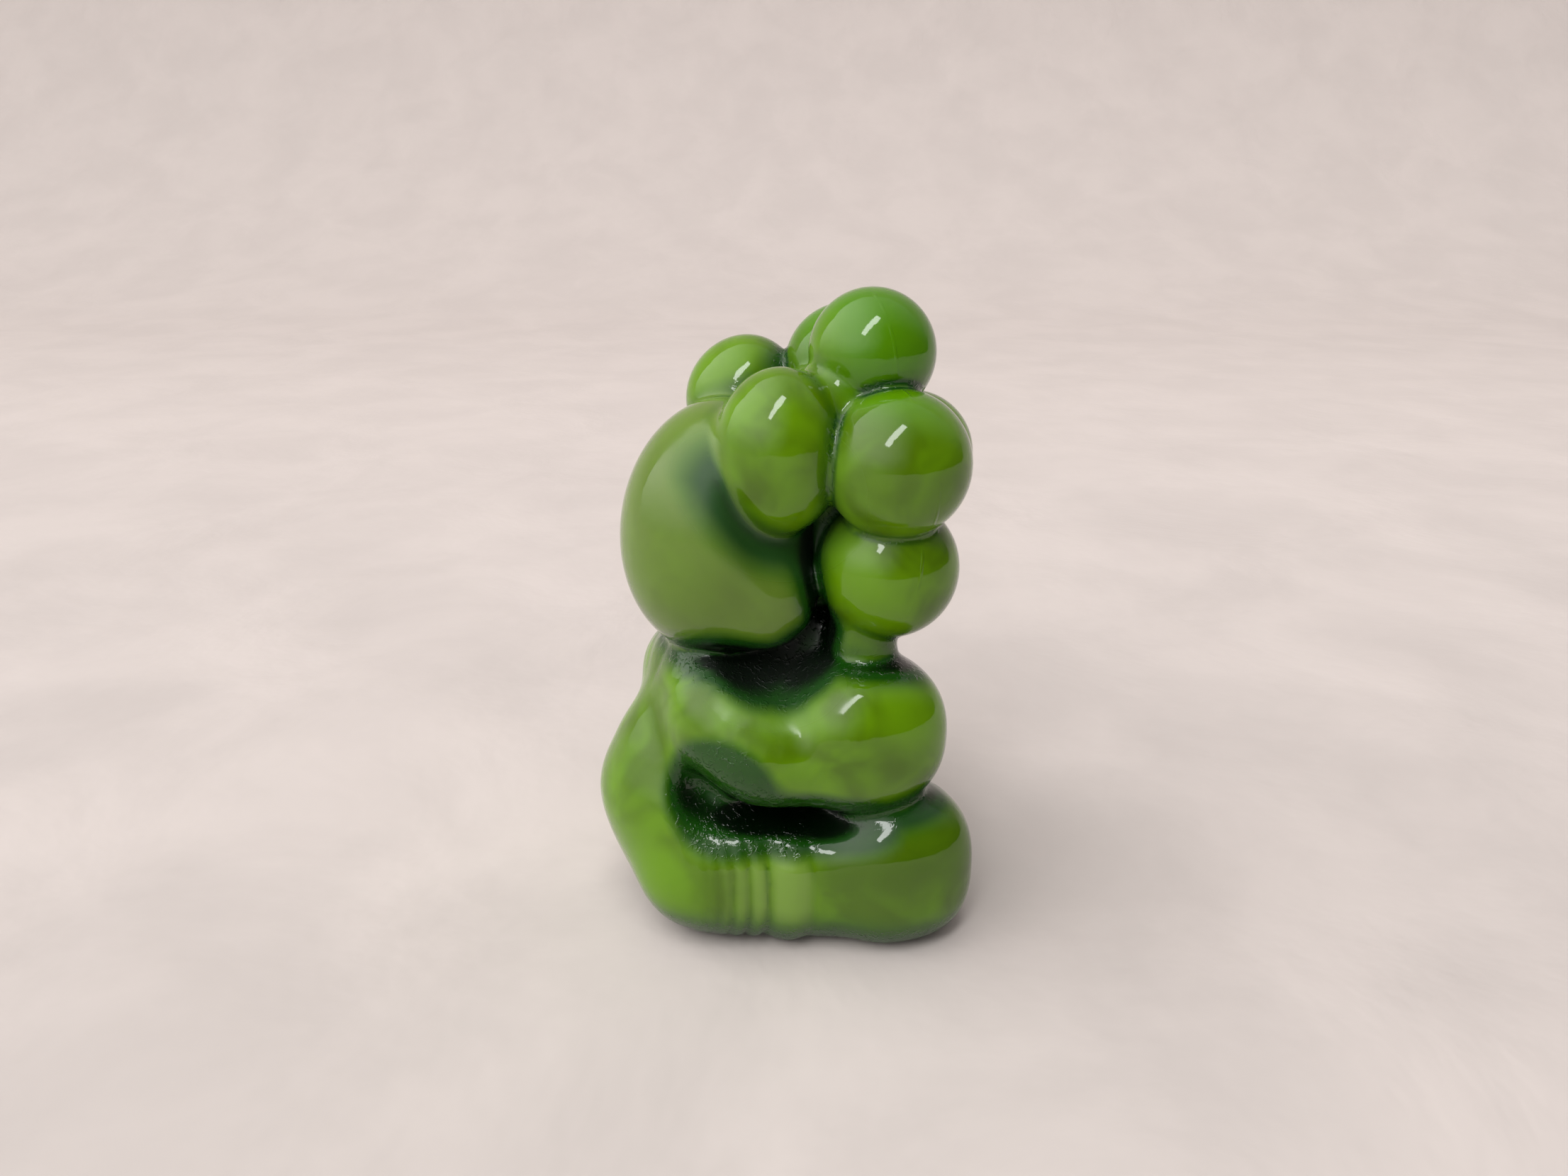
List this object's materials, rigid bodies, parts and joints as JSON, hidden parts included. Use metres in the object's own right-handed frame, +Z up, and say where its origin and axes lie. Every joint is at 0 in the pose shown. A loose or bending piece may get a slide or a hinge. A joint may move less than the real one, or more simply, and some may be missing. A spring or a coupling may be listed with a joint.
{
  "type": "glass bear figurine",
  "caption": "Seated bear figurine in green slag glass, hugging a bunch of round balloons in front of its face with both paws",
  "frame": {"origin": "on the ground, under the middle of the figure's outer box", "axes": "+X is the way the bear faces, +Y is its left, +Z is up; the bear sits with its face to +X"},
  "size_m": [0.037, 0.0348, 0.06],
  "materials": {
    "green_glass": "opaque yellow-green slag glass, glossy as cast, dark bottle green where it runs deep"
  },
  "bodies": {
    "root": {"glass_bear": "green_glass"}
  },
  "joints": []
}
